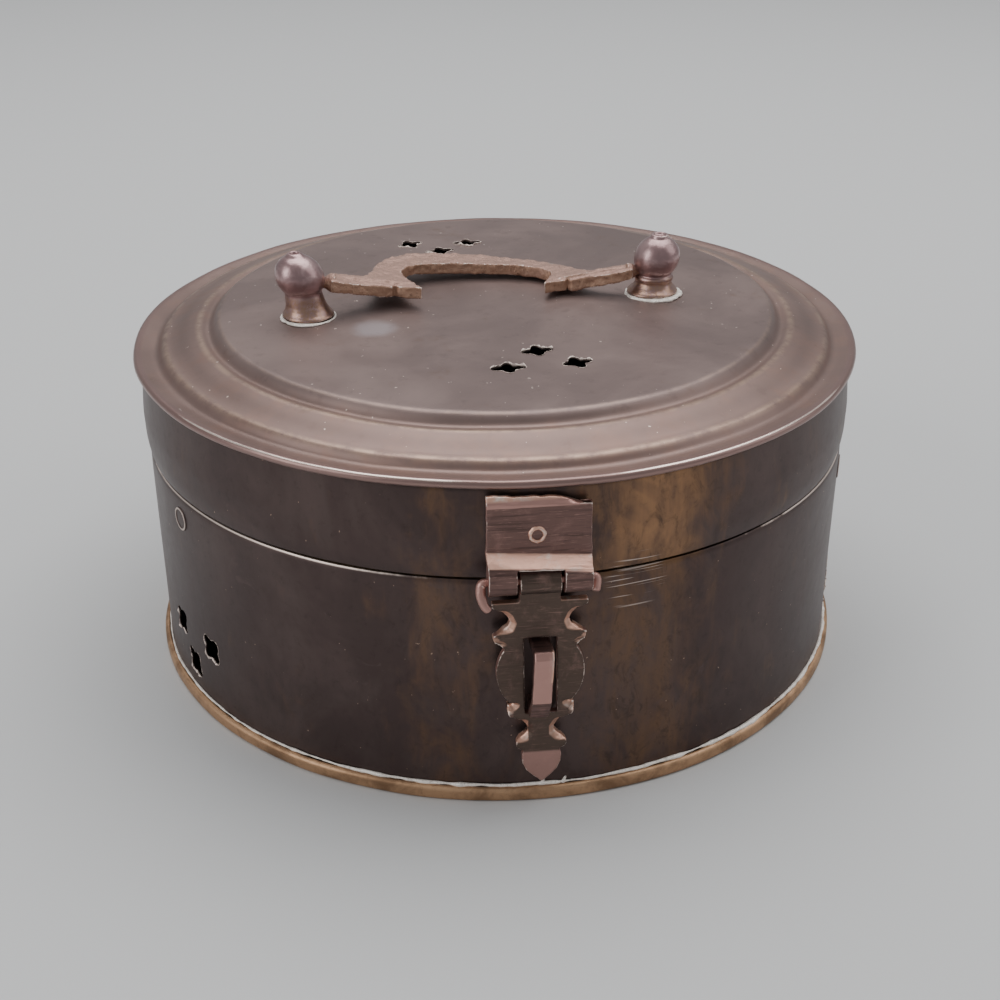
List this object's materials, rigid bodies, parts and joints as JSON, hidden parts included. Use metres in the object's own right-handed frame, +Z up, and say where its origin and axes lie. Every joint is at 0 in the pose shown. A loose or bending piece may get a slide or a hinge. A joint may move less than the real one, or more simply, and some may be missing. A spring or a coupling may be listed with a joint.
{
  "type": "round lidded box",
  "caption": "Round lidded sheet-brass box with a stepped hinged lid, pierced star vents, a hasp and staple, and a folding bail handle between turned knobs.",
  "frame": {"origin": "centre of the flat underside", "axes": "+Z up, the hasp faces -Y, the lid hinge is at +Y, +X is to the right seen from the hasp"},
  "size_m": [0.125, 0.1333, 0.0719],
  "materials": {
    "lid_patina": "satin mauve-brown patina",
    "wall_patina": "satin dark brown patina with brushed brass patches",
    "foot_brass": "dull tan brass",
    "inside_brass": "dull tarnished brass",
    "solder": "soft tin solder, wiped bright",
    "hasp_copper": "filed copper-coloured brass, worn edges",
    "leaf_copper": "dark copper-coloured brass, bright cusps",
    "hinge_copper": "dark copper-coloured brass",
    "knob_brown": "glossy purple-brown patina, coppery necks",
    "bail_tan": "rough tan-brown cast brass, nicked edges"
  },
  "bodies": {
    "base": {"base_plate": "foot_brass", "foot_ring": "foot_brass", "foot_solder": "solder", "body_wall": "wall_patina", "inner_collar": "inside_brass", "collar_rivet_left": "wall_patina", "collar_rivet_right": "wall_patina", "staple": "hasp_copper", "hinge_base_leaf": "hinge_copper", "hinge_base_rivet_left": "hinge_copper", "hinge_base_rivet_right": "hinge_copper"},
    "lid": {"lid_top": "lid_patina", "lid_band": "wall_patina", "knob_left": "knob_brown", "knob_right": "knob_brown", "knob_solder_left": "solder", "knob_solder_right": "solder", "hasp_bracket": "hasp_copper", "hasp_rivet": "hasp_copper", "hasp_pin": "hasp_copper", "hinge_lid_leaf": "hinge_copper", "hinge_lid_rivet_left": "hinge_copper", "hinge_lid_rivet_right": "hinge_copper", "hinge_pin": "hinge_copper"},
    "handle": {"handle_bail": "bail_tan"},
    "hasp": {"hasp_leaf": "leaf_copper"}
  },
  "joints": [
    {"name": "lid_hinge", "type": "hinge", "parent": "base", "child": "lid", "pos_m": [0, 0.0644, 0.0397], "axis": [-1, 0, 0], "range_deg": [0, 180]},
    {"name": "handle_hinge", "type": "hinge", "parent": "lid", "child": "handle", "pos_m": [-0.00228, -0.00278, 0.0657], "axis": [0.9974, 0.0673, -0.0266], "range_deg": [0, 195]},
    {"name": "hasp_hinge", "type": "hinge", "parent": "lid", "child": "hasp", "pos_m": [-0.0006, -0.064, 0.041], "axis": [-1, 0, 0], "range_deg": [0, 135]}
  ]
}
